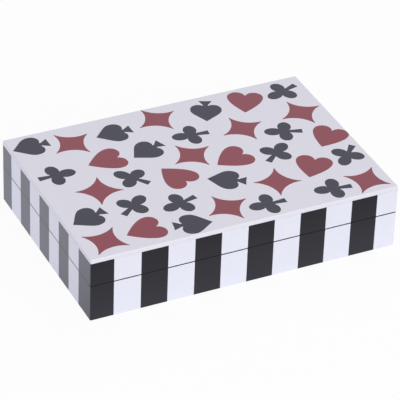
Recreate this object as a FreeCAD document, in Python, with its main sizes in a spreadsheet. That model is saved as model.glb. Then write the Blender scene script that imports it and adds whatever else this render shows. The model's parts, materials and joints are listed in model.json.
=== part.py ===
"""Two-deck playing card box with a hinged lid.

A fibreboard carcass clad in glued strips of black and white resin, topped by one white resin sheet inlaid
with the four card suits. Carcass and cladding are sawn apart at the seam into a base and a lid, which two
brass stop hinges join along the back.

Frame: millimetres, origin at the centre of the underside, +X to the right along the front, +Y from front to
back, +Z up. The lid is closed.
"""

import FreeCAD, Part
import math
import os
import Sketcher
from types import SimpleNamespace

# Driving dimensions, in millimetres; stop_angle is in degrees and the counts are plain numbers.
SIZES = {
    "case_length": 168,  # outside, along the front
    "case_width": 115,  # outside, front to back
    "case_height": 36,  # outside, lid closed
    "edge_round": 0.5,  # the case's upright corners and the top's rim
    "seam_height": 20.4,  # where base and lid are sawn apart
    "rim_gap": 0.1,  # between the two rims
    "strip_setback": 0.15,  # the cladding's eased edge, each side of the seam

    "cladding": 2.2,  # thickness of the side strips
    "strip_lift": 0.1,  # strips clear the table by this
    "front_count": 12,  # strips along the front and along the back
    "front_trim_left": 2,  # cut off the first strip of the glued-up row
    "front_trim_right": 2.8,  # cut off its last strip
    "end_count": 9,  # strips along each end
    "end_trim": 2.8,  # cut off the rearmost strip of each end

    "top_thickness": 2.3,  # white top sheet
    "suit_span": 24.4,  # diamond, tip to tip; the other suits are drawn to match

    "core_wall": 8,  # fibreboard walls
    "floor_thickness": 4,  # base panel
    "roof_thickness": 3.7,  # lid panel
    "rebate": 4,  # how far the panels run into the walls
    "foot_thickness": 1,  # felt under the base
    "lining": 0.8,  # felt inside
    "lining_drop": 0.8,  # bare wall between lining and rim

    "divider_thickness": 6,  # between the two decks
    "divider_drop": 0.6,  # below the base rim
    "scoop_width": 38,  # finger scoop in the divider
    "scoop_depth": 7.5,  # of its middle

    "hinge_length": 25,  # along the back
    "hinge_inset": 34,  # hinge centre to the end of the case
    "axis_offset": 0.4,  # pin axis behind the back face
    "leaf_thickness": 1.5,  # hinge leaves
    "leaf_cover": 1,  # wall left between the leaf and the inside
    "hinge_fit": 0.1,  # play around leaf and knuckles
    "barrel_radius": 1.9,  # knuckles
    "barrel_clearance": 0.15,  # around a turning knuckle
    "pin_radius": 0.6,  # hinge pins
    "pin_clearance": 0.05,  # in the lid's knuckle
    "stop_angle": 96,  # between the stop noses of a closed hinge
    "nose_reach": 3.4,  # stop face, from the pin axis
    "nose_drop": 3.6,  # nose, above and below the pin axis

    "screw_spacing": 15,  # between the two screws of a leaf
    "screw_length": 6,  # with its head
    "screw_head_radius": 1.5,  # at its flat face
    "screw_head_depth": 0.9,  # down to the shank
    "screw_shank_radius": 0.8,  # and its pilot hole
    "slot_width": 0.4,  # screwdriver slot
    "slot_depth": 0.35,  # screwdriver slot
}

doc = FreeCAD.newDocument("CardBox")
nodes = {}


# ---------------------------------------------------------------- the sheet of sizes


class Size:
    """A length or a number: its expression in terms of the Sizes sheet, and its present value."""

    def __init__(self, text, value):
        self.text = text
        self.value = value

    def __add__(self, other):
        other = size_of(other)
        return Size(f"({self.text} + {other.text})", self.value + other.value)

    def __radd__(self, other):
        return size_of(other) + self

    def __sub__(self, other):
        other = size_of(other)
        return Size(f"({self.text} - {other.text})", self.value - other.value)

    def __rsub__(self, other):
        return size_of(other) - self

    def __mul__(self, other):
        other = size_of(other)
        return Size(f"({self.text} * {other.text})", self.value * other.value)

    def __rmul__(self, other):
        return size_of(other) * self

    def __truediv__(self, other):
        other = size_of(other)
        return Size(f"({self.text} / {other.text})", self.value / other.value)

    def __neg__(self):
        return size_of(0) - self


def size_of(value):
    """A plain number as a Size; a Size as it is."""
    return value if isinstance(value, Size) else Size(repr(float(value)), float(value))


def cosine(angle):
    return Size(f"cos({angle.text} * 1deg)", math.cos(math.radians(angle.value)))


def sine(angle):
    return Size(f"sin({angle.text} * 1deg)", math.sin(math.radians(angle.value)))


def sheet_of(sizes):
    """Writes each driving dimension to a row of the document's sheet, under its own alias."""
    sheet = doc.addObject("Spreadsheet::Sheet", "Sizes")
    aliases = SimpleNamespace()
    for row, (alias, value) in enumerate(sizes.items(), 1):
        sheet.set(f"A{row}", alias.replace("_", " "))
        sheet.set(f"B{row}", repr(value))
        sheet.setAlias(f"B{row}", alias)
        setattr(aliases, alias, Size(f"{sheet.Name}.{alias}", value))
    doc.recompute()
    return aliases


dim = sheet_of(SIZES)

half_length = dim.case_length / 2
half_width = dim.case_width / 2
core_half_length = half_length - dim.cladding
core_half_width = half_width - dim.cladding
inner_half_length = core_half_length - dim.core_wall
inner_half_width = core_half_width - dim.core_wall
base_rim = dim.seam_height - dim.rim_gap / 2
lid_rim = dim.seam_height + dim.rim_gap / 2
floor_top = dim.foot_thickness + dim.floor_thickness
sheet_bottom = dim.case_height - dim.top_thickness
roof_bottom = sheet_bottom - dim.roof_thickness
hinge_x = half_length - dim.hinge_inset
axis_y = half_width + dim.axis_offset
leaf_width = axis_y - inner_half_width - dim.leaf_cover
screw_y = (inner_half_width + dim.leaf_cover + core_half_width) / 2
SIDES = {"left": -1, "right": 1}


# ---------------------------------------------------------------- ways of building


def bind(thing, **properties):
    """Binds properties to Sizes. A double underscore stands for the dot of a sub-property."""
    for name, value in properties.items():
        thing.setExpression(name.replace("__", "."), size_of(value).text)


def keep(label, thing):
    """Names a finished sub-part."""
    thing.Label = label
    nodes[label] = thing
    return thing


def block(name, x, y, z):
    """A box between two Sizes along each axis."""
    box = doc.addObject("Part::Box", name)
    bind(box, Length=x[1] - x[0], Width=y[1] - y[0], Height=z[1] - z[0])
    bind(box, Placement__Base__x=x[0], Placement__Base__y=y[0], Placement__Base__z=z[0])
    return box


def span(sign, near, far):
    """From near to far on one side of the middle, the lower end first."""
    return (near, far) if sign > 0 else (-far, -near)


def group(name, members):
    """Separate solids as one sub-part."""
    compound = doc.addObject("Part::Compound", name)
    compound.Links = members
    return compound


def cut(name, base, tools):
    """A base with tools cut out of it."""
    result = doc.addObject("Part::Cut", name)
    result.Base = base
    result.Tool = tools[0] if len(tools) == 1 else group(name + "_tools", tools)
    return result


def body_at(name, x=0, y=0, z=0):
    """An empty body whose origin stands at a point."""
    body = doc.addObject("PartDesign::Body", name)
    bind(body, Placement__Base__x=x, Placement__Base__y=y, Placement__Base__z=z)
    return body


def sketch_on(body, role, height=0):
    """An empty sketch on one of the body's own planes, lifted off it by a height."""
    sketch = body.newObject("Sketcher::SketchObject", f"{body.Name}_{role}")
    plane = [f for f in body.Origin.OriginFeatures if f.Role == role][0]
    sketch.AttachmentSupport = [(plane, "")]
    sketch.MapMode = "FlatFace"
    bind(sketch, AttachmentOffset__Base__z=height)
    return sketch


def fix_point(sketch, geometry, point, corner):
    """Ties a point of a sketch to its two coordinates."""
    for kind, value in zip(("DistanceX", "DistanceY"), corner):
        value = size_of(value)
        index = sketch.addConstraint(Sketcher.Constraint(kind, -1, 1, geometry, point, value.value))
        sketch.setExpression(f"Constraints[{index}]", value.text)


def draw_polygon(sketch, corners):
    """A closed polygon through corners given as pairs of Sizes."""
    corners = [(size_of(u), size_of(v)) for u, v in corners]
    points = [FreeCAD.Vector(u.value, v.value, 0) for u, v in corners]
    lines = [Part.LineSegment(a, b) for a, b in zip(points, points[1:] + points[:1])]
    ids = [sketch.addGeometry(line, False) for line in lines]
    for here, following in zip(ids, ids[1:] + ids[:1]):
        sketch.addConstraint(Sketcher.Constraint("Coincident", here, 2, following, 1))
    for line, corner in zip(ids, corners):
        fix_point(sketch, line, 1, corner)


def draw_rectangle(sketch, u, v):
    """A rectangle between two Sizes each way."""
    draw_polygon(sketch, [(u[0], v[0]), (u[1], v[0]), (u[1], v[1]), (u[0], v[1])])


def draw_circle(sketch, u, v, radius):
    """A circle about a point."""
    centre = FreeCAD.Vector(size_of(u).value, size_of(v).value, 0)
    circle = sketch.addGeometry(Part.Circle(centre, FreeCAD.Vector(0, 0, 1), radius.value), False)
    fix_point(sketch, circle, 3, (u, v))
    index = sketch.addConstraint(Sketcher.Constraint("Radius", circle, radius.value))
    sketch.setExpression(f"Constraints[{index}]", radius.text)


def extrude(kind, sketch, body, length, symmetric=False, upward=False):
    """A Pad or a Pocket of a sketch; a Pocket cuts downward unless it is told otherwise."""
    feature = body.newObject(f"PartDesign::{kind}", f"{sketch.Name}_{kind}")
    feature.Profile = sketch
    feature.SideType = "Symmetric" if symmetric else "One side"
    feature.Reversed = upward and kind == "Pocket"
    bind(feature, Length=length)
    doc.recompute()
    return feature


def outer_edge(edge):
    """Whether an edge lies where two of the case's outer faces meet, the underside apart."""
    middle = edge.CenterOfMass
    outer = (half_length.value, half_width.value, dim.case_height.value)
    reach = (abs(middle.x), abs(middle.y), middle.z)
    return sum(abs(a - b) < 1e-6 for a, b in zip(outer, reach)) >= 2


def eased_block(name, x, y, z):
    """A box between two Sizes along each axis, its edges rounded where they are the case's own."""
    body = body_at(name)
    outline = sketch_on(body, "XY_Plane", z[0])
    draw_rectangle(outline, x, y)
    pad = extrude("Pad", outline, body, z[1] - z[0])
    easing = body.newObject("PartDesign::Fillet", f"{name}_easing")
    easing.Base = (pad, [f"Edge{k}" for k, edge in enumerate(pad.Shape.Edges, 1) if outer_edge(edge)])
    bind(easing, Radius=dim.edge_round)
    doc.recompute()
    return body


def profile_body(name, role, corners, length):
    """A body with one outline carried the same way to both sides of a plane."""
    body = body_at(name)
    sketch = sketch_on(body, role)
    draw_polygon(sketch, corners)
    extrude("Pad", sketch, body, length, symmetric=True)
    return body


# ---------------------------------------------------------------- carcass: four walls and a panel, twice


def base_section(outer, inner, lip):
    """A base wall's outline: upright, with a rebate for the floor panel at its lower inner edge."""
    return [
        (outer, dim.foot_thickness),
        (lip, dim.foot_thickness),
        (lip, floor_top),
        (inner, floor_top),
        (inner, base_rim),
        (outer, base_rim),
    ]


def lid_section(outer, inner, lip):
    """A lid wall's outline: the same, with the rebate at its upper inner edge."""
    return [
        (outer, lid_rim),
        (inner, lid_rim),
        (inner, roof_bottom),
        (lip, roof_bottom),
        (lip, sheet_bottom),
        (outer, sheet_bottom),
    ]


def walls(half, section):
    """Front and back walls run the full length of the core; the end walls stand between them."""
    made = {}
    for side, sign in (("front", -1), ("back", 1)):
        across = [sign * d for d in (core_half_width, inner_half_width, inner_half_width + dim.rebate)]
        made[side] = profile_body(f"{half}_{side}_wall", "YZ_Plane", section(*across), 2 * core_half_length)
    for side, sign in SIDES.items():
        along = [sign * d for d in (core_half_length, inner_half_length, inner_half_length + dim.rebate)]
        made[side] = profile_body(f"{half}_{side}_wall", "XZ_Plane", section(*along), 2 * inner_half_width)
    for side, body in made.items():
        keep(f"{half}_{side}_wall", body)
    return made["back"]


def mortise(wall, rim, upward):
    """Sinks the hinge leaves and their screws into a back wall's rim."""
    pocket = sketch_on(wall, "XY_Plane", rim)
    reach = dim.hinge_length / 2 + dim.hinge_fit
    for sign in SIDES.values():
        across = (axis_y - leaf_width - dim.hinge_fit, core_half_width + dim.hinge_fit)
        draw_rectangle(pocket, (sign * hinge_x - reach, sign * hinge_x + reach), across)
    extrude("Pocket", pocket, wall, dim.leaf_thickness, upward=upward)
    pilots = sketch_on(wall, "XY_Plane", rim)
    for x in screw_places():
        draw_circle(pilots, x, screw_y, dim.screw_shank_radius)
    extrude("Pocket", pilots, wall, dim.screw_length, upward=upward)


def screw_places():
    """The screws' places along the back, two to a leaf."""
    return [side * hinge_x + end * dim.screw_spacing / 2 for side in (-1, 1) for end in (-1, 1)]


mortise(walls("base", base_section), base_rim, upward=False)
mortise(walls("lid", lid_section), lid_rim, upward=True)

panel_x = (-(inner_half_length + dim.rebate), inner_half_length + dim.rebate)
panel_y = (-(inner_half_width + dim.rebate), inner_half_width + dim.rebate)
keep("base_floor_panel", block("FloorPanel", panel_x, panel_y, (dim.foot_thickness, floor_top)))
keep("lid_roof_panel", block("RoofPanel", panel_x, panel_y, (roof_bottom, sheet_bottom)))


# ---------------------------------------------------------------- striped cladding


def edges_of(start, end, count, trim_start, trim_end):
    """Where a row of equal strips is cut along a face, its first and last strips trimmed."""
    pitch = (end - start + trim_start + trim_end) / count
    inner = [start - trim_start + k * pitch for k in range(1, math.ceil(count.value))]
    return [start] + inner + [end]


def strips(half, side, z, notch_z=None):
    """One face's strips, black and white in turn, as two sub-parts. The left ends of the front and of the
    back are black, so the left end's corners are black too and the right end's are white."""
    if side in ("front", "back"):
        trims = (dim.front_trim_left, dim.front_trim_right)
        edges = edges_of(-half_length, half_length, dim.front_count, *trims)
        y = span(-1 if side == "front" else 1, core_half_width, half_width)
        boxes = [((a, b), y) for a, b in zip(edges, edges[1:])]
        corners = (0, len(boxes) - 1)
    else:
        edges = edges_of(-core_half_width, core_half_width, dim.end_count, 0, dim.end_trim)
        x = span(SIDES[side], core_half_length, half_length)
        boxes = [(x, (a, b)) for a, b in zip(edges, edges[1:])]
        corners = ()
    colours = ("white", "black") if side == "right" else ("black", "white")
    for start, colour in enumerate(colours):
        name = f"{half}_{side}_{colour}_strips"
        made = [eased_block if k in corners else block for k in range(len(boxes))]
        members = [made[k](f"{name}_{k}", *boxes[k], z) for k in range(start, len(boxes), 2)]
        row = group(name, members)
        keep(name, cut(name + "_notched", row, barrel_notches(name, notch_z)) if notch_z else row)


def barrel_notches(name, z):
    """What is sawn out of the back strips for the two hinge barrels."""
    y = (core_half_width - dim.hinge_fit, half_width + dim.barrel_radius)
    reach = dim.hinge_length / 2 + dim.hinge_fit
    centres = [sign * hinge_x for sign in SIDES.values()]
    return [block(f"{name}_notch_{k}", (x - reach, x + reach), y, z) for k, x in enumerate(centres)]


base_strips_z = (dim.strip_lift, base_rim - dim.strip_setback)
lid_strips_z = (lid_rim + dim.strip_setback, sheet_bottom)
notch_reach = dim.barrel_radius + dim.barrel_clearance
for side in ("front", "left", "right"):
    strips("base", side, base_strips_z)
    strips("lid", side, lid_strips_z)
strips("base", "back", base_strips_z, (dim.seam_height - notch_reach, dim.seam_height))
strips("lid", "back", lid_strips_z, (dim.seam_height, dim.seam_height + notch_reach))


# ---------------------------------------------------------------- suits inlaid in the top sheet

# The suits are drawn for a diamond that spans DRAWN_SPAN, with the point of a spade or a heart, or the stalk
# of a club, along +x. Their places are for a top of DRAWN_TOP, from its front left corner.
DRAWN_SPAN = 24.4
DRAWN_TOP = (168.0, 115.0)
EDGE_MARGIN = 0.02
SCATTER = {
    # x, y and turn in degrees, by rows from the back
    "spade": [
        (11.5, 104, 182), (55.8, 99.6, 182), (108.7, 101.4, 248),
        (65.2, 78.4, 202),
        (13.8, 34, 197), (91, 38, 152),
        (58, 9.4, -11),
    ],
    "heart": [
        (132, 102.5, 245),
        (43, 77.8, 185),
        (69.1, 49.5, 114), (103.3, 55.3, 195), (157.4, 55.4, 224),
        (137.2, 33.7, 233.5),
        (36, 13.9, 186),
    ],
    "club": [
        (154, 103.1, 20),
        (13.6, 74.6, 180), (91, 83, -6), (137, 68, -19),
        (47, 58.3, -50), (125.3, 51.5, 219),
        (38.2, 35.4, 217.5), (59.8, 28, 15.5), (157.4, 35, 48),
        (99.8, 10.8, -1), (136.3, 10.8, -8),
    ],
    "diamond": [
        (31.6, 98.8, 27.5), (81.4, 103.3, 20),
        (119, 78.5, 11), (154, 81, 10.5),
        (27.5, 53.5, -17), (84, 65.5, 21),
        (113.5, 27, -18),
        (13.1, 12.4, 51), (80.4, 16, 16), (156, 11, 51),
    ],
}  # fmt: skip


def vector(x, y):
    return FreeCAD.Vector(x, y, 0)


def mirrored_face(half):
    """A flat face from the edges of its upper half, which start and end on the x axis."""
    upper = Part.Wire(half)
    lower = upper.mirror(vector(0, 0), vector(0, 1))
    return Part.Face(Part.Wire(Part.__sortEdges__(upper.Edges + lower.Edges)))


def flank(top, lean_top, lean_point, point):
    """A lobed suit's side, from the top of its lobe to its point, as one Bezier curve."""
    curve = Part.BezierCurve()
    curve.setPoles([top, lean_top, lean_point, point])
    return curve.toShape()


def lobe(centre, radius, start, end):
    """A round lobe's arc, between two angles in degrees."""
    circle = Part.Circle(centre, FreeCAD.Vector(0, 0, 1), radius)
    return Part.Arc(circle, math.radians(start), math.radians(end)).toShape()


def draw_heart():
    centre, radius = vector(-3.35, 4.65), 4.85
    notch = 180 + math.degrees(math.asin(centre.y / radius))
    top = centre + vector(0, radius)
    side = flank(top, vector(0.95, 9.6), vector(6.3, 5.45), vector(11.7, 0))
    return [mirrored_face([lobe(centre, radius, 90, notch), side])]


def draw_spade():
    centre, radius = vector(-1.4, 4), 4.25
    neck = 216.0
    top = centre + vector(0, radius)
    joined = centre + radius * vector(math.cos(math.radians(neck)), math.sin(math.radians(neck)))
    foot, heel = vector(-9.5, 3.6), vector(-9.4, 0)
    pinch = vector(-5.5, 1.25)
    outline = [
        Part.makeLine(heel, foot),
        Part.Arc(foot, vector(-7.1, 2.25), pinch).toShape(),
        Part.makeLine(pinch, joined),
        lobe(centre, radius, 90, neck),
        flank(top, vector(2.85, 8.8), vector(5, 4.75), vector(10.4, 0)),
    ]
    return [mirrored_face(Part.__sortEdges__(outline))]


def leaf(centre, long_radius, short_radius, turn):
    """One of a club's three leaves, an ellipse."""
    face = Part.Face(Part.Wire(Part.Ellipse(vector(0, 0), long_radius, short_radius).toShape()))
    face.rotate(vector(0, 0), FreeCAD.Vector(0, 0, 1), turn)
    face.translate(centre)
    return face


def draw_club():
    crown = leaf(vector(-5.2, 0), 4.6, 3.45, 0)
    sides = [leaf(vector(1.2, sign * 4.4), 4.4, 3.55, sign * 85) for sign in (-1, 1)]
    middle = leaf(vector(0.8, 0), 2.7, 2.7, 0)
    stalk = [vector(1, -0.9), vector(10.2, -1.9), vector(10.2, 1.9), vector(1, 0.9)]
    return [crown, *sides, middle, Part.Face(Part.makePolygon(stalk + stalk[:1]))]


def draw_diamond():
    tip, nib, waist = DRAWN_SPAN / 2, 0.22, 4.3
    outline = [
        Part.makeLine(vector(-tip, 0), vector(-tip, nib)),
        Part.Arc(vector(-tip, nib), vector(-waist, waist), vector(-nib, tip)).toShape(),
        Part.makeLine(vector(-nib, tip), vector(nib, tip)),
        Part.Arc(vector(nib, tip), vector(waist, waist), vector(tip, nib)).toShape(),
        Part.makeLine(vector(tip, nib), vector(tip, 0)),
    ]
    return [mirrored_face(outline)]


def inlay_solid(faces):
    """One inlay of the sheet's thickness, from the overlapping faces of a suit's drawing."""
    prisms = []
    for face in faces:
        face.scale(dim.suit_span.value / DRAWN_SPAN, vector(0, 0))
        prisms.append(face.extrude(FreeCAD.Vector(0, 0, dim.top_thickness.value)))
    return prisms[0].multiFuse(prisms[1:]).removeSplitter() if len(prisms) > 1 else prisms[0]


def inlays(pattern, places):
    """One suit's inlays at its places on the top, rounded with the sheet where they reach its rim. They keep
    their size and never come closer together than they are drawn, and one that would run off the sheet is
    left out."""
    top = (dim.case_length.value, dim.case_width.value)
    spread = [max(dim.suit_span.value / DRAWN_SPAN, full / drawn) for full, drawn in zip(top, DRAWN_TOP)]
    room = [full / 2 - EDGE_MARGIN for full in top]
    made = []
    for x, y, turn in places:
        inlay = pattern.copy()
        inlay.rotate(vector(0, 0), FreeCAD.Vector(0, 0, 1), turn)
        inlay.translate(vector((x - DRAWN_TOP[0] / 2) * spread[0], (y - DRAWN_TOP[1] / 2) * spread[1]))
        box = inlay.optimalBoundingBox(True, False)
        if max(-box.XMin, box.XMax) < room[0] and max(-box.YMin, box.YMax) < room[1]:
            inlay.translate(FreeCAD.Vector(0, 0, sheet_bottom.value))
            made += inlay.common(blank.Shape).Solids
    return Part.makeCompound(made)


top_x, top_y = (-half_length, half_length), (-half_width, half_width)
blank = eased_block("TopBlank", top_x, top_y, (sheet_bottom, dim.case_height))

DRAWINGS = {"spade": draw_spade, "heart": draw_heart, "club": draw_club, "diamond": draw_diamond}
suit_nodes = []
for suit, places in SCATTER.items():
    feature = doc.addObject("Part::Feature", f"{suit.capitalize()}Inlays")
    feature.Shape = inlays(inlay_solid(DRAWINGS[suit]()), places)
    suit_nodes.append(keep(f"{suit}_inlays", feature))

keep("lid_top_sheet", cut("TopSheet", blank, suit_nodes))


# ---------------------------------------------------------------- divider, felt and linings

scoop_radius = dim.scoop_width * dim.scoop_width / (8 * dim.scoop_depth) + dim.scoop_depth / 2
divider_top = base_rim - dim.divider_drop
divider_face = [
    (-inner_half_width, floor_top),
    (inner_half_width, floor_top),
    (inner_half_width, divider_top),
    (-inner_half_width, divider_top),
]
divider = keep("deck_divider", profile_body("Divider", "YZ_Plane", divider_face, dim.divider_thickness))
scoop = sketch_on(divider, "YZ_Plane")
draw_circle(scoop, 0, divider_top + scoop_radius - dim.scoop_depth, scoop_radius)
extrude("Pocket", scoop, divider, 2 * dim.divider_thickness, symmetric=True)

underside = ((-core_half_length, core_half_length), (-core_half_width, core_half_width))
keep("underside_felt", block("UndersideFelt", *underside, (size_of(0), dim.foot_thickness)))

bay_outer_x = inner_half_length - dim.lining
bay_inner_x = dim.divider_thickness / 2
bay_y = (-(inner_half_width - dim.lining), inner_half_width - dim.lining)
pad_z = (floor_top, floor_top + dim.lining)
for side, sign in SIDES.items():
    pad = block(f"{side}_bay_felt", span(sign, bay_inner_x, bay_outer_x), bay_y, pad_z)
    keep(f"{side}_bay_pad", pad)


def wall_lining(name, z, stretches):
    """Felt on the four walls. It covers the stretches given of the front and back walls and all of the
    end walls."""
    members = []
    for sign in (-1, 1):
        y = span(sign, inner_half_width - dim.lining, inner_half_width)
        members += [block(f"{name}_{sign}_{k}", x, y, z) for k, x in enumerate(stretches)]
        x = span(sign, bay_outer_x, inner_half_length)
        members.append(block(f"{name}_{sign}_end", x, (-inner_half_width, inner_half_width), z))
    keep(name, group(name, members))


bays = [span(sign, bay_inner_x, bay_outer_x) for sign in (-1, 1)]
hollow = (-bay_outer_x, bay_outer_x)
wall_lining("base_wall_lining", (floor_top, base_rim - dim.lining_drop), bays)
wall_lining("lid_wall_lining", (lid_rim + dim.lining_drop, roof_bottom), [hollow])
roof_felt_z = (roof_bottom - dim.lining, roof_bottom)
keep("lid_roof_felt", block("LidRoofFelt", hollow, bay_y, roof_felt_z))


# ---------------------------------------------------------------- stop hinges

half_stop = dim.stop_angle / 2
knuckle_half = dim.hinge_length / 6
zone_end = dim.hinge_length / 2 + dim.hinge_fit


def hinge_leaf(side, half, up):
    """A brass leaf on one rim, with its knuckles about the pin and its stop nose behind them. The base leaf
    has the two outer knuckles and the lid leaf the middle one. up is -1 for the base leaf, 1 for the lid's.
    The body stands on the pin axis."""
    body = body_at(f"{side}_{half}_leaf", SIDES[side] * hinge_x, axis_y, dim.seam_height)
    face, back = up * dim.rim_gap / 2, up * (dim.rim_gap / 2 + dim.leaf_thickness)
    behind = dim.hinge_fit - dim.axis_offset
    reach = dim.nose_reach * cosine(half_stop)
    plate = sketch_on(body, "YZ_Plane")
    draw_polygon(
        plate,
        [
            (-leaf_width, back),
            (-leaf_width, face),
            (0, face),
            (reach, up * dim.nose_reach * sine(half_stop)),
            (reach, up * dim.nose_drop),
            (behind, up * dim.nose_drop),
            (behind, back),
        ],
    )
    extrude("Pad", plate, body, dim.hinge_length, symmetric=True)
    barrel = sketch_on(body, "YZ_Plane")
    draw_circle(barrel, 0, 0, dim.barrel_radius)
    extrude("Pad", barrel, body, dim.hinge_length, symmetric=True)
    clear_zones(body, half)
    bore = sketch_on(body, "YZ_Plane")
    draw_circle(bore, 0, 0, dim.pin_radius if half == "base" else dim.pin_radius + dim.pin_clearance)
    extrude("Pocket", bore, body, 2 * dim.hinge_length, symmetric=True)
    sink_screws(body, back, up)
    return keep(f"{side}_hinge_{half}_leaf", body)


def clear_zones(body, half):
    """Cuts a leaf back around the other leaf's knuckles."""
    round_clear = dim.barrel_radius + dim.barrel_clearance
    if half == "base":
        zone = sketch_on(body, "YZ_Plane")
        draw_circle(zone, 0, 0, round_clear)
        extrude("Pocket", zone, body, 2 * (knuckle_half + dim.hinge_fit / 2), symmetric=True)
        return
    for sign in (-1, 1):
        start, end = knuckle_half - dim.hinge_fit / 2, zone_end
        zone = sketch_on(body, "YZ_Plane", sign * (start + end) / 2)
        draw_circle(zone, 0, 0, round_clear)
        extrude("Pocket", zone, body, end - start, symmetric=True)


def sink_screws(body, back, up):
    """Drills and countersinks a leaf for its two screws, from the face that looks at the other leaf."""
    holes = sketch_on(body, "XY_Plane")
    for sign in (-1, 1):
        draw_circle(holes, sign * dim.screw_spacing / 2, screw_y - axis_y, dim.screw_shank_radius)
    extrude("Pocket", holes, body, 4 * dim.leaf_thickness, symmetric=True)
    plane = [f for f in body.Origin.OriginFeatures if f.Role == "XY_Plane"][0]
    narrow, wide = dim.screw_shank_radius, dim.screw_head_radius
    for sign in (-1, 1):
        cone = body.newObject("PartDesign::SubtractiveCone", f"{body.Name}_countersink")
        cone.AttachmentSupport = [(plane, "")]
        cone.MapMode = "FlatFace"
        bottom = -(dim.rim_gap / 2 + dim.screw_head_depth) if up < 0 else dim.rim_gap / 2
        bind(cone, Radius1=narrow if up < 0 else wide, Radius2=wide if up < 0 else narrow)
        bind(cone, Height=dim.screw_head_depth, AttachmentOffset__Base__z=bottom)
        bind(cone, AttachmentOffset__Base__x=sign * dim.screw_spacing / 2)
        bind(cone, AttachmentOffset__Base__y=screw_y - axis_y)
        doc.recompute()


def screw(name, x, z, up):
    """A slotted countersunk screw, its flat head in the leaf's face and its shank in the core."""
    body = body_at(name, x, screw_y, z)
    section = sketch_on(body, "XZ_Plane")
    draw_polygon(
        section,
        [
            (0, 0),
            (dim.screw_head_radius, 0),
            (dim.screw_shank_radius, up * dim.screw_head_depth),
            (dim.screw_shank_radius, up * (dim.screw_length - dim.screw_shank_radius)),
            (0, up * dim.screw_length),
        ],
    )
    turned = body.newObject("PartDesign::Revolution", f"{name}_turned")
    turned.Profile = section
    turned.ReferenceAxis = (section, ["V_Axis"])
    turned.Angle = 360
    doc.recompute()
    slot = sketch_on(body, "XY_Plane")
    along = 2 * dim.screw_head_radius
    draw_rectangle(slot, (-along, along), (-dim.slot_width / 2, dim.slot_width / 2))
    extrude("Pocket", slot, body, dim.slot_depth, upward=up > 0)
    return body


for side in SIDES:
    hinge_leaf(side, "base", -1)
    hinge_leaf(side, "lid", 1)
    pin = doc.addObject("Part::Cylinder", f"{side}_pin")
    pin.Placement.Rotation = FreeCAD.Rotation(FreeCAD.Vector(0, 1, 0), 90)
    start = SIDES[side] * hinge_x - dim.hinge_length / 2
    bind(pin, Radius=dim.pin_radius, Height=dim.hinge_length)
    bind(pin, Placement__Base__x=start, Placement__Base__y=axis_y, Placement__Base__z=dim.seam_height)
    keep(f"{side}_hinge_pin", pin)

for half, rim, up in (("base", base_rim, -1), ("lid", lid_rim, 1)):
    members = [screw(f"{half}_screw_{k}", x, rim, up) for k, x in enumerate(screw_places())]
    keep(f"hinge_{half}_screws", group(f"{half}_screws", members))


# ---------------------------------------------------------------- check and write

doc.recompute()
for thing in doc.Objects:
    faults = {"Invalid", "Error"} & set(thing.State)
    if faults:
        raise RuntimeError(f"{thing.Name} is {', '.join(sorted(faults))}")
for label, thing in nodes.items():
    if thing.Shape.isNull() or not thing.Shape.isValid() or not thing.Shape.Solids:
        raise RuntimeError(f"{label} has no valid solid")

os.makedirs("parts", exist_ok=True)
for label, thing in nodes.items():
    thing.Shape.exportStep(os.path.join("parts", f"{label}.step"))
print(f"{len(nodes)} sub-parts, {sum(len(t.Shape.Solids) for t in nodes.values())} solids")
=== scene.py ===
"""Looks of a playing card box for two decks: painted carcass, felt lining, striped resin sides, an inlaid
resin top and two brass hinges. Metres, origin at the centre of the underside, +Z up, front towards -Y."""

import json
import math

import bmesh
import bpy
import numpy as np
from mathutils import Matrix, Vector

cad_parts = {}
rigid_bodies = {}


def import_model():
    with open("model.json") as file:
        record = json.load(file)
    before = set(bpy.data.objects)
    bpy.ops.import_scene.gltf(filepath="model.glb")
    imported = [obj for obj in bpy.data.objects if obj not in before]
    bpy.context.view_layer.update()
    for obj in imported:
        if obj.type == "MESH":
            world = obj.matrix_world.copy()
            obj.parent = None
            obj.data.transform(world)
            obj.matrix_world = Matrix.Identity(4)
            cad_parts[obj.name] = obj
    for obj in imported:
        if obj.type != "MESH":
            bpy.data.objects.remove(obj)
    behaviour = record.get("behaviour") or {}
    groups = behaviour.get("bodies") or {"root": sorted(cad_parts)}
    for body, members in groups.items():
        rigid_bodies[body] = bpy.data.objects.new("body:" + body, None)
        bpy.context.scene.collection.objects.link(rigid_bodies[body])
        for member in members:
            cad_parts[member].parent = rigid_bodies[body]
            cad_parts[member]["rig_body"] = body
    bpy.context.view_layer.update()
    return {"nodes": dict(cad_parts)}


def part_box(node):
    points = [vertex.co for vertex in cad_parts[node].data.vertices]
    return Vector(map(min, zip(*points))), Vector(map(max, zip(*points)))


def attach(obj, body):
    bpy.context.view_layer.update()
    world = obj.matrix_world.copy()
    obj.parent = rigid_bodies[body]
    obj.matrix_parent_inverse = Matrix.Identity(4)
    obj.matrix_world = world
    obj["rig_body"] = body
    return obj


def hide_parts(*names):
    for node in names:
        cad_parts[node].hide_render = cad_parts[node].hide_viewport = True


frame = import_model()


# ---------------------------------------------------------------- carcass
# Eight fibreboard walls, a floor panel, a roof panel and the divider between the decks, glued up and painted
# black before the felt goes in. The paint is a thin satin coat that still shows some of the board's fibre,
# and the sawn edges are broken with a stroke of sandpaper.

MM = 0.001
SAME_PLACE = 0.001 * MM
PLANE_ANGLE = math.radians(0.2)
SHARP_ANGLE = math.radians(35)
EASED_ANGLE = math.radians(40)
WALLS = ("front", "back", "left", "right")
BOARD_EASE = 0.25 * MM
BOARD_FIBRE = 0.35 * MM
BOARD_WEAR = 9 * MM
PAINT_DEPTH = 0.03 * MM
PAINT_BLACK = (0.021, 0.020, 0.021)
PAINT_WORN = (0.040, 0.038, 0.038)


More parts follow.
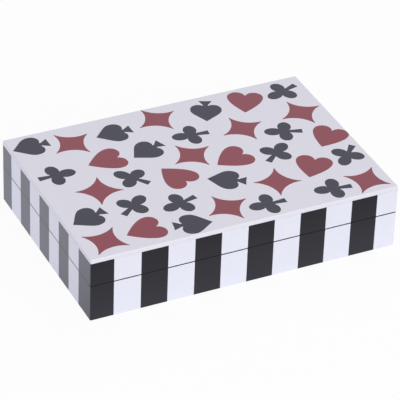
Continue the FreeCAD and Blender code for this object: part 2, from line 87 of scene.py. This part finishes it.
class Value:
    """A number that varies over a surface. Sums written on it add Math nodes to its finish."""

    def __init__(self, finish, socket):
        self.finish = finish
        self.socket = socket

    def _sum(self, operation, *terms):
        return self.finish.node("Math", {"operation": operation}, dict(enumerate(terms)))

    def __add__(self, other):
        return self._sum("ADD", self, other)

    def __sub__(self, other):
        return self._sum("SUBTRACT", self, other)

    def __rsub__(self, other):
        return self._sum("SUBTRACT", other, self)

    def __mul__(self, other):
        return self._sum("MULTIPLY", self, other)

    __radd__ = __add__
    __rmul__ = __mul__


class Finish:
    """The nodes of a material, or of the room. node() adds every node, and principled() a surface."""

    def __init__(self, owner):
        owner.use_nodes = True
        self.owner = owner
        self.tree = owner.node_tree
        self.tree.nodes.clear()

    def node(self, kind, settings, inputs, output=0):
        """Adds a node: first its settings, then the values or links of its sockets. Returns one output."""
        node = self.tree.nodes.new("ShaderNode" + kind)
        for key, value in settings.items():
            setattr(node, key, value)
        for key, value in inputs.items():
            if isinstance(value, Value):
                self.tree.links.new(value.socket, node.inputs[key])
            else:
                node.inputs[key].default_value = value
        return Value(self, node.outputs[output]) if node.outputs else None

    def place(self):
        """Where a point lies on its piece."""
        return self.node("TexCoord", {}, {}, "Object")

    def noise(self, size, detail=2.0, stretch=(1, 1, 1)):
        """Noise from 0 to 1 whose blotches are about size across, drawn out along each axis by stretch. A
        light and a dark blotch side by side are one period of it."""
        shrink = [1 / factor for factor in stretch]
        drawn = self.node("Mapping", {}, {"Vector": self.place(), "Scale": shrink})
        return self.node("TexNoise", {}, {"Vector": drawn, "Scale": 1 / (2 * size), "Detail": detail})

    def blend(self, share, one, other):
        """A colour from one to the other as share goes from 0 to 1. A Mix node's sockets for colours go by
        number, because their names repeat."""
        return self.node("Mix", {"data_type": "RGBA"}, {0: share, 6: (*one, 1), 7: (*other, 1)}, 2)

    def bump(self, height, depth):
        """A normal from a height of 0 to 1 that stands for this depth."""
        return self.node("Bump", {}, {"Height": height, "Strength": 1.0, "Distance": depth})

    def principled(self, **sockets):
        """The surface, its sockets named with underscores for spaces. Returns the material."""
        inputs = {key.replace("_", " "): value for key, value in sockets.items()}
        self.node("OutputMaterial", {}, {"Surface": self.node("BsdfPrincipled", {}, inputs)})
        return self.owner


def painted_board():
    """Satin black paint over fibreboard."""
    paint = Finish(bpy.data.materials.new("painted_board"))
    fibre = paint.noise(BOARD_FIBRE, 4.0, (3, 3, 1))
    wear = paint.noise(BOARD_WEAR, 3.0)
    return paint.principled(
        Base_Color=paint.blend(wear, PAINT_BLACK, PAINT_WORN),
        Roughness=0.42 + 0.2 * fibre,
        Normal=paint.bump(fibre + 0.5 * wear, PAINT_DEPTH),
    )


def piece_of(mesh, *nodes):
    """A mesh as a piece that stands for CAD nodes and moves with the body that they are on."""
    piece = bpy.data.objects.new(mesh.name, mesh)
    bpy.context.scene.collection.objects.link(piece)
    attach(piece, frame["nodes"][nodes[0]]["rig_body"])
    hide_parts(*nodes)
    return piece


def copy_of(node):
    """A CAD node's mesh as a new piece that stands for it: its loose triangles are merged and the ones in one
    plane become one face, which is shaded flat right up to its rounded edges."""
    shape = bmesh.new()
    shape.from_mesh(frame["nodes"][node].data)
    bmesh.ops.remove_doubles(shape, verts=shape.verts, dist=SAME_PLACE)
    bmesh.ops.dissolve_limit(shape, angle_limit=PLANE_ANGLE, verts=shape.verts, edges=shape.edges)
    mesh = bpy.data.meshes.new(node + "_piece")
    shape.to_mesh(mesh)
    shape.free()
    piece = piece_of(mesh, node)
    piece.modifiers.new("Flat_faces", "WEIGHTED_NORMAL").keep_sharp = True
    return piece


def dress(piece, material):
    """Gives a piece its material, smooth but for its sharp edges."""
    piece.data.materials.append(material)
    piece.data.shade_smooth()
    piece.data.set_sharp_from_angle(angle=SHARP_ANGLE)


def rows_of(parts, field, width, kind=float):
    """One field of a mesh's vertices, edges or faces as an array, a row to each."""
    values = np.empty(len(parts) * width, kind)
    parts.foreach_get(field, values)
    return values.reshape(-1, width)


def ease(piece, width, wanted=None, material=-1):
    """Rounds a piece's edges: the sharp ones, or those that wanted picks by their two ends, which the short
    edges of a rounded corner don't narrow. The rounding has a material of the piece, or its neighbours'."""
    bevel = piece.modifiers.new("Ease", "BEVEL")
    piece.modifiers.move(1, 0)
    bevel.width = width
    bevel.segments = 2
    bevel.material = material
    bevel.angle_limit = EASED_ANGLE
    bevel.limit_method = "WEIGHT" if wanted else "ANGLE"
    bevel.use_clamp_overlap = not wanted
    if wanted:
        mesh = piece.data
        ends = rows_of(mesh.vertices, "co", 3)[rows_of(mesh.edges, "vertices", 2, int)]
        weights = mesh.attributes.new("bevel_weight_edge", "FLOAT", "EDGE")
        weights.data.foreach_set("value", wanted(ends[:, 0], ends[:, 1]).astype(np.float32))


board = painted_board()
core_walls = [f"{half}_{wall}_wall" for half in ("base", "lid") for wall in WALLS]
for node in [*core_walls, "base_floor_panel", "lid_roof_panel", "deck_divider"]:
    piece = copy_of(node)
    dress(piece, board)
    ease(piece, BOARD_EASE)


# ---------------------------------------------------------------- felt
# Black wool felt: a sheet glued into each bay, strips on the base's walls, one sheet cut as a cross for the
# lid's roof and walls, and a thicker sheet under the base. It is rounded where it was cut and never lies
# quite flat.

FELT_GRID = 1.6 * MM
FELT_CUT = np.array([0, 0.08, 0.3, 0.62, 1.0])
FELT_SWELL = 0.05 * MM
FELT_WAVES = (9 * MM, 7 * MM, 5 * MM)
FELT_FIBRE = 0.14 * MM
FELT_TUFT = 1.3 * MM
FELT_BRUSHED = 16 * MM
FELT_NAP = 0.35 * MM
FELT_DARK = (0.007, 0.007, 0.008)
FELT_PALE = (0.075, 0.075, 0.083)


def felt():
    """Matted fibres: fine noise drawn out two ways, paler where the nap stands up in tufts and where a hand
    has brushed it."""
    wool = Finish(bpy.data.materials.new("felt"))
    fibre = 0.5 * (wool.noise(FELT_FIBRE, 3.0, (4, 1, 1)) + wool.noise(FELT_FIBRE, 3.0, (1, 4, 2)))
    tufts = wool.noise(FELT_TUFT, 3.0, (1.6, 1, 1))
    brushed = wool.noise(FELT_BRUSHED, 2.0, (1, 2, 1))
    return wool.principled(
        Base_Color=wool.blend(1.3 * fibre + 0.5 * tufts + 0.4 * brushed - 0.72, FELT_DARK, FELT_PALE),
        Roughness=0.95,
        Normal=wool.bump(0.7 * fibre + 0.3 * tufts, FELT_NAP),
        Sheen_Weight=0.35,
        Sheen_Roughness=0.5,
        Specular_IOR_Level=0.2,
    )


def felt_sheet(low, high, axis, sign):
    """Points and faces of a sheet that fills a box between two corners and shows its face along sign * axis.

    Over its length u and width v the face stands at (thickness + FELT_SWELL * (w - 2)) * sqrt(1 - (1 - m)^2),
    where w is the sum of two slow waves and m is the distance from the nearest cut edge over the thickness,
    at most 1. The back is flat. FELT_CUT gives the values of m where the rounded edge has rows of points."""
    low, high = np.array(low), np.array(high)
    u_axis, v_axis = [k for k in range(3) if k != axis]
    thickness = high[axis] - low[axis]
    rim = thickness * FELT_CUT
    stations = []
    for k in (u_axis, v_axis):
        full = high[k] - low[k]
        inner = np.linspace(rim[-1], full - rim[-1], max(3, int(full / FELT_GRID)))
        stations.append(np.concatenate([rim[:-1], inner, full - rim[-2::-1]]))
    u, v = np.meshgrid(*stations, indexing="ij")
    margin = np.minimum(np.minimum(u, stations[0][-1] - u), np.minimum(v, stations[1][-1] - v))
    near = np.clip(margin / thickness, 0, 1)
    along, across, slanted = FELT_WAVES
    waves = np.sin(u / along + 1.3) * np.sin(v / across) + 0.5 * np.sin((u + 2 * v) / slanted)
    height = (thickness + FELT_SWELL * (waves - 2)) * np.sqrt(1 - (1 - near) ** 2)
    points = np.empty((2, *u.shape, 3))
    points[..., u_axis] = low[u_axis] + u
    points[..., v_axis] = low[v_axis] + v
    back = low[axis] if sign > 0 else high[axis]
    points[0, ..., axis] = back + sign * height
    points[1, ..., axis] = back
    rows, columns = u.shape
    index = np.arange(rows * columns).reshape(rows, columns)
    quads = np.stack([index[:-1, :-1], index[1:, :-1], index[1:, 1:], index[:-1, 1:]], -1).reshape(-1, 4)
    outward = quads if (sign > 0) == (axis != 1) else quads[:, ::-1]
    return points.reshape(-1, 3), np.concatenate([outward, outward[:, ::-1] + rows * columns])


def felt_piece(name, sheets, nodes, flat):
    """Sheets of felt as one piece that stands for its CAD nodes. flat, the size that it was cut to, is not
    used.
    Each sheet's face and back share the points of its cut edge."""
    starts = np.cumsum([0] + [len(points) for points, _ in sheets])
    points = np.concatenate([points for points, _ in sheets])
    faces = np.concatenate([faces + start for (_, faces), start in zip(sheets, starts)])
    mesh = bpy.data.meshes.new(name)
    mesh.from_pydata(points, [], faces)
    shape = bmesh.new()
    shape.from_mesh(mesh)
    bmesh.ops.remove_doubles(shape, verts=shape.verts, dist=SAME_PLACE)
    shape.to_mesh(mesh)
    shape.free()
    piece = piece_of(mesh, *nodes)
    dress(piece, black_felt)


def wall_strips(low, high, thick, stretches):
    """Strips on the inner faces of four walls, between two corners of their lining: the stretches in x on the
    front and back walls, and the whole of the end walls."""
    strips = []
    for x0, x1 in stretches:
        strips.append(felt_sheet((x0, low.y, low.z), (x1, low.y + thick, high.z), 1, 1))
        strips.append(felt_sheet((x0, high.y - thick, low.z), (x1, high.y, high.z), 1, -1))
    strips.append(felt_sheet((low.x, low.y, low.z), (low.x + thick, high.y, high.z), 0, 1))
    strips.append(felt_sheet((high.x - thick, low.y, low.z), (high.x, high.y, high.z), 0, -1))
    return strips


def lengths(low, high):
    """How long a box is in x and in y."""
    return high.x - low.x, high.y - low.y


black_felt = felt()
for side in ("left", "right"):
    low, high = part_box(f"{side}_bay_pad")
    felt_piece(
        f"{side}_bay_felt",
        [felt_sheet(low, high, 2, 1)],
        [f"{side}_bay_pad"],
        lengths(low, high),
    )

low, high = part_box("base_wall_lining")
divider_low, divider_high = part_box("deck_divider")
roof_low, roof_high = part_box("lid_roof_felt")
lining = roof_high.z - roof_low.z
bays = [(low.x + lining, divider_low.x), (divider_high.x, high.x - lining)]
felt_piece(
    "base_wall_felt",
    wall_strips(low, high, lining, bays),
    ["base_wall_lining"],
    (high.z - low.z, 4 * (bays[0][1] - bays[0][0]) + 2 * (high.y - low.y)),
)

low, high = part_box("lid_wall_lining")
flap = high.z - low.z
inner_length, inner_width = lengths(roof_low, roof_high)
flaps = wall_strips(low, high, lining, [(low.x + lining, high.x - lining)])
felt_piece(
    "lid_felt",
    [felt_sheet(roof_low, roof_high, 2, -1), *flaps],
    ["lid_roof_felt", "lid_wall_lining"],
    (inner_length + 2 * flap, inner_width + 2 * flap),
)

low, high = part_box("underside_felt")
felt_piece(
    "foot_felt",
    [felt_sheet(low, high, 2, -1)],
    ["underside_felt"],
    lengths(low, high),
)


# ---------------------------------------------------------------- striped cladding
# Strips of black and of white cast resin, glued edge to edge round the closed carcass, planed flush and
# polished. Lid and base were sawn apart and their lips only just eased, the long sides' more than the ends'.
# The sawn faces and the white strips' lips take the carcass's black, which darkens the seam between lid and
# base, and the black strips of the ends meet most closely.

# Lip widths: the white lips take the carcass's black, which darkens the seam, wider on the long sides than
# the ends.
WHITE_LIP = {"front": 0.12 * MM, "back": 0.12 * MM, "left": 0.06 * MM, "right": 0.06 * MM}
BLACK_LIP = 0.03 * MM
BLACK_PROUD = 0.125 * MM
OWN, BOARD_INDEX = 0, 1
CORNER_ROUND = 0.5 * MM
OFF_FACE = 0.01 * MM
CLOUD_SIZE = 11 * MM
HAIRLINE_SIZE = 0.12 * MM
PEEL_SIZE = 2.2 * MM
POLISH_DEPTH = 0.004 * MM
RESIN_IOR = 1.54
RESIN_WHITE = (0.765, 0.775, 0.855)
RESIN_WHITE_CLOUD = (0.745, 0.755, 0.825)
RESIN_BLACK = (0.008, 0.008, 0.010)
RESIN_BLACK_CLOUD = (0.014, 0.014, 0.017)


def resin(name, colour, cloud):
    """Polished cast resin: faint clouds in the colour, and hairlines left by the polishing wheel."""
    cast = Finish(bpy.data.materials.new(name))
    clouds = cast.noise(CLOUD_SIZE, 3.0)
    hairlines = cast.noise(HAIRLINE_SIZE, 2.0, (60, 6, 6))
    peel = cast.noise(PEEL_SIZE, 1.0)
    return cast.principled(
        Base_Color=cast.blend(clouds, colour, cloud),
        Roughness=0.05 + 0.09 * hairlines,
        Normal=cast.bump(peel + 0.05 * hairlines, POLISH_DEPTH),
        IOR=RESIN_IOR,
    )


def on_outer_face(points):
    """Whether points lie on the case's front, back, left or right face or on a rounded corner between two."""
    past = np.abs(points[:, :2]) - np.array([case_high.x, case_high.y]) + CORNER_ROUND
    return np.hypot(*np.maximum(past, 0).T) > CORNER_ROUND - OFF_FACE


def lips_at(height):
    """Picks the edges at one height that lie on the case's outer faces from end to end."""

    def wanted(a, b):
        off_level = np.maximum(np.abs(a[:, 2] - height), np.abs(b[:, 2] - height))
        on_faces = on_outer_face(a) & on_outer_face(b) & on_outer_face((a + b) / 2)
        return on_faces & (off_level < SAME_PLACE)

    return wanted


def blacken_rim(piece, height):
    """Gives the carcass's black board material to the faces that the saw left at one height, which darkens
    the seam. It comes after the piece's own material."""
    piece.data.materials.append(board)
    faces = piece.data.polygons
    level = np.abs(rows_of(faces, "normal", 3)[:, 2]) > 0.9
    at_rim = np.abs(rows_of(faces, "center", 3)[:, 2] - height) < SAME_PLACE
    faces.foreach_set("material_index", np.where(level & at_rim, BOARD_INDEX, OWN).astype(np.int32))


def raise_rim(piece, height, rise):
    """Moves the points at one height up, or down where rise is negative. Returns their new height."""
    places = rows_of(piece.data.vertices, "co", 3)
    places[np.abs(places[:, 2] - height) < SAME_PLACE, 2] += rise
    piece.data.vertices.foreach_set("co", places.ravel())
    piece.data.update()
    return height + rise


white_resin = resin("white_strip_resin", RESIN_WHITE, RESIN_WHITE_CLOUD)
black_resin = resin("black_resin", RESIN_BLACK, RESIN_BLACK_CLOUD)
case_low, case_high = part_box("lid_top_sheet")
for half in ("base", "lid"):
    for wall in WALLS:
        for colour, material in (("white", white_resin), ("black", black_resin)):
            node = f"{half}_{wall}_{colour}_strips"
            low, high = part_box(node)
            rim = high.z if half == "base" else low.z
            piece = copy_of(node)
            dress(piece, material)
            # The sawn faces and the white strips' lips take the carcass's black, which darkens the seam
            # between lid and base.
            blacken_rim(piece, rim)
            if colour == "black" and wall in ("left", "right"):
                rim = raise_rim(piece, rim, BLACK_PROUD if half == "base" else -BLACK_PROUD)
            if colour == "white":
                ease(piece, WHITE_LIP[wall], lips_at(rim), BOARD_INDEX)
            else:
                ease(piece, BLACK_LIP, lips_at(rim), OWN)


# ---------------------------------------------------------------- inlaid top
# One sheet of white resin, cut through for the suits and glued down. Its lower outer edge is eased and takes
# the carcass's black, a dark hair line along the joint with the strips. Hearts and diamonds are red resin and
# spades and clubs black, let in flush and polished with the sheet, so that only a hair of the joint round
# each one shows.

INLAY_EASE = 0.04 * MM
SHEET_DARK_EDGE = 0.05 * MM
SHEET_WHITE = (0.765, 0.755, 0.815)
SHEET_WHITE_CLOUD = (0.745, 0.735, 0.785)
RESIN_RED = (0.254, 0.030, 0.031)
RESIN_RED_CLOUD = (0.240, 0.027, 0.029)

sheet_resin = resin("white_sheet_resin", SHEET_WHITE, SHEET_WHITE_CLOUD)
red_resin = resin("red_resin", RESIN_RED, RESIN_RED_CLOUD)
sheet = copy_of("lid_top_sheet")
dress(sheet, sheet_resin)
sheet.data.materials.append(board)
# The sheet's lower outer edge is eased and takes the board's black, a dark line along the joint with the
# strips.
ease(sheet, SHEET_DARK_EDGE, lips_at(case_low.z), BOARD_INDEX)


def upper_rim(a, b):
    """Picks the edges that lie in the top's face."""
    return np.minimum(a[:, 2], b[:, 2]) > case_high.z - SAME_PLACE


for suit, material, slot in (
    ("spade", black_resin, "black_resin"),
    ("heart", red_resin, "red_resin"),
    ("club", black_resin, "black_resin"),
    ("diamond", red_resin, "red_resin"),
):
    piece = copy_of(f"{suit}_inlays")
    dress(piece, material)
    ease(piece, INLAY_EASE, upper_rim)


# ---------------------------------------------------------------- hinges
# Two brass stop hinges: a leaf let into each rim, three knuckles on a brass pin, and noses behind the
# knuckles that meet when the lid stands open. The leaves are brushed along their length and each is held by
# two countersunk brass screws.

BRASS_EASE = 0.08 * MM
BRUSH_LINE = 0.05 * MM
TARNISH_SPOT = 3 * MM
BRUSH_DEPTH = 0.004 * MM
BRASS = (0.80, 0.62, 0.33)
BRASS_TARNISH = (0.62, 0.45, 0.21)


def brushed_brass():
    """Brass with brush lines along the hinge and a little tarnish."""
    metal = Finish(bpy.data.materials.new("brushed_brass"))
    lines = metal.noise(BRUSH_LINE, 2.0, (40, 1, 1))
    tarnish = metal.noise(TARNISH_SPOT, 3.0)
    return metal.principled(
        Base_Color=metal.blend(tarnish, BRASS, BRASS_TARNISH),
        Metallic=1.0,
        Roughness=0.2 + 0.12 * lines + 0.12 * tarnish,
        Normal=metal.bump(lines, BRUSH_DEPTH),
    )


brass = brushed_brass()
leaves_and_pins = [
    f"{side}_hinge_{part}" for side in ("left", "right") for part in ("base_leaf", "lid_leaf", "pin")
]
for node in [*leaves_and_pins, "hinge_base_screws", "hinge_lid_screws"]:
    piece = copy_of(node)
    dress(piece, brass)
    ease(piece, BRASS_EASE)


# ---------------------------------------------------------------- studio
# A pale table that runs on into a white room, lit softly by the room itself and by one large window of light
# before the box. The camera stands off to the box's front left and looks down on it.

ROOM_WHITE = (1.0, 1.0, 1.0)
ROOM_SHEEN = (0.96, 0.96, 1.20)
ROOM_LIGHT = (0.985, 0.975, 1.0)
ROOM_STRENGTH = 0.56
TABLE_REACH = 4.0
TABLE_PAPER = (0.90, 0.90, 0.93)
# The table's painted glow: mirrored in the box's polish and thrown onto it as painted bounce light, dimmer
# towards the front.
TABLE_PAINTED_SHEEN = (1.0, 1.0, 1.17)
TABLE_DIM = 0.2
TABLE_DIM_Y = -0.16
TABLE_BRIGHT_Y = 0.02
TABLE_GLOW = 0.93
TABLE_PAINTED_BOUNCE = 0.4

room = Finish(bpy.data.worlds.new("room"))
bpy.context.scene.world = room.owner
seen = room.node("Background", {}, {"Color": (*ROOM_LIGHT, 1), "Strength": ROOM_STRENGTH})
for kind, colour in (("Glossy", ROOM_SHEEN), ("Transmission", ROOM_WHITE), ("Camera", ROOM_WHITE)):
    ray = room.node("LightPath", {}, {}, f"Is {kind} Ray")
    backdrop = room.node("Background", {}, {"Color": (*colour, 1)})
    seen = room.node("MixShader", {}, {0: ray, 1: seen, 2: backdrop})
room.node("OutputWorld", {}, {"Surface": seen})


def table_paper():
    """White paper that keeps a shadow. Seen by the camera it is nearly as white as the room. In the box's
    polished sides and in the light thrown back onto the box it is a painted glow, a painted pool of light
    that is brighter near the box and dimmer towards the front. From below it is clear."""
    paper = Finish(bpy.data.materials.new("paper"))
    camera, glossy, diffuse = (
        paper.node("LightPath", {}, {}, f"Is {kind} Ray") for kind in ("Camera", "Glossy", "Diffuse")
    )
    lit = paper.node("BsdfDiffuse", {}, {"Color": (*TABLE_PAPER, 1)})
    glow = paper.node("Emission", {}, {"Color": (*ROOM_WHITE, 1), "Strength": 1.0})
    # Painted pool of light: the glow fades from near the box towards the front.
    y = paper.node("SeparateXYZ", {}, {"Vector": paper.place()}, "Y")
    stops = {0: y, 1: TABLE_DIM_Y, 2: TABLE_BRIGHT_Y, 3: TABLE_DIM, 4: 1.0}
    strength = paper.node("MapRange", {"interpolation_type": "SMOOTHSTEP"}, stops)
    sheen = paper.node("Emission", {}, {"Color": (*TABLE_PAINTED_SHEEN, 1), "Strength": strength})
    seen = paper.node("MixShader", {}, {0: TABLE_GLOW * camera, 1: lit, 2: glow})
    seen = paper.node("MixShader", {}, {0: glossy + TABLE_PAINTED_BOUNCE * diffuse, 1: seen, 2: sheen})
    below = paper.node("NewGeometry", {}, {}, "Backfacing")
    clear = paper.node("BsdfTransparent", {}, {})
    seen = paper.node("MixShader", {}, {0: below, 1: seen, 2: clear})
    paper.node("OutputMaterial", {}, {"Surface": seen})
    return paper.owner


corners = [(x * TABLE_REACH, y * TABLE_REACH, 0) for x, y in ((-1, -1), (1, -1), (1, 1), (-1, 1))]
table_mesh = bpy.data.meshes.new("table_top")
table_mesh.from_pydata(corners, [], [(0, 1, 2, 3)])
table_mesh.materials.append(table_paper())
table = bpy.data.objects.new("table_top", table_mesh)
bpy.context.scene.collection.objects.link(table)

BOX_MIDDLE = (0, 0, 0.02)
WINDOW_PLACE = (-0.25, -1.5, 0.75)
WINDOW_SIZE = 1.5
WINDOW_WATTS = 19.3
FILL_PLACE = (1.1, 0.9, 1.2)
FILL_SIZE = 0.8
FILL_WATTS = 5.0


def softbox(name, place, size, watts):
    """A square area light at a place, facing the box, that doesn't mirror in it."""
    light = bpy.data.lights.new(name, "AREA")
    light.shape = "SQUARE"
    light.size = size
    light.energy = watts
    lamp = bpy.data.objects.new(name, light)
    lamp.location = place
    lamp.rotation_euler = (Vector(BOX_MIDDLE) - Vector(place)).to_track_quat("-Z", "Y").to_euler()
    lamp.visible_glossy = False
    bpy.context.scene.collection.objects.link(lamp)


softbox("window", WINDOW_PLACE, WINDOW_SIZE, WINDOW_WATTS)
softbox("fill", FILL_PLACE, FILL_SIZE, FILL_WATTS)

CAMERA_PLACE = Vector((-0.48952, -0.99575, 0.76300))
CAMERA_AIM = Vector((-0.00177, -0.00664, 0.01800))
CAMERA_ROLL = math.radians(2.107)
CAMERA_LENS = 235.27
CAMERA_SENSOR = 36.0

camera_data = bpy.data.cameras.new("camera")
camera_data.sensor_width = CAMERA_SENSOR
camera_data.lens = CAMERA_LENS
camera_data.clip_start = 0.05
camera = bpy.data.objects.new("camera", camera_data)
bpy.context.scene.collection.objects.link(camera)
level = (CAMERA_AIM - CAMERA_PLACE).to_track_quat("-Z", "Y").to_matrix()
camera.rotation_euler = (level @ Matrix.Rotation(CAMERA_ROLL, 3, "Z")).to_euler()
camera.location = CAMERA_PLACE
bpy.context.scene.camera = camera
bpy.context.scene.view_settings.view_transform = "Standard"
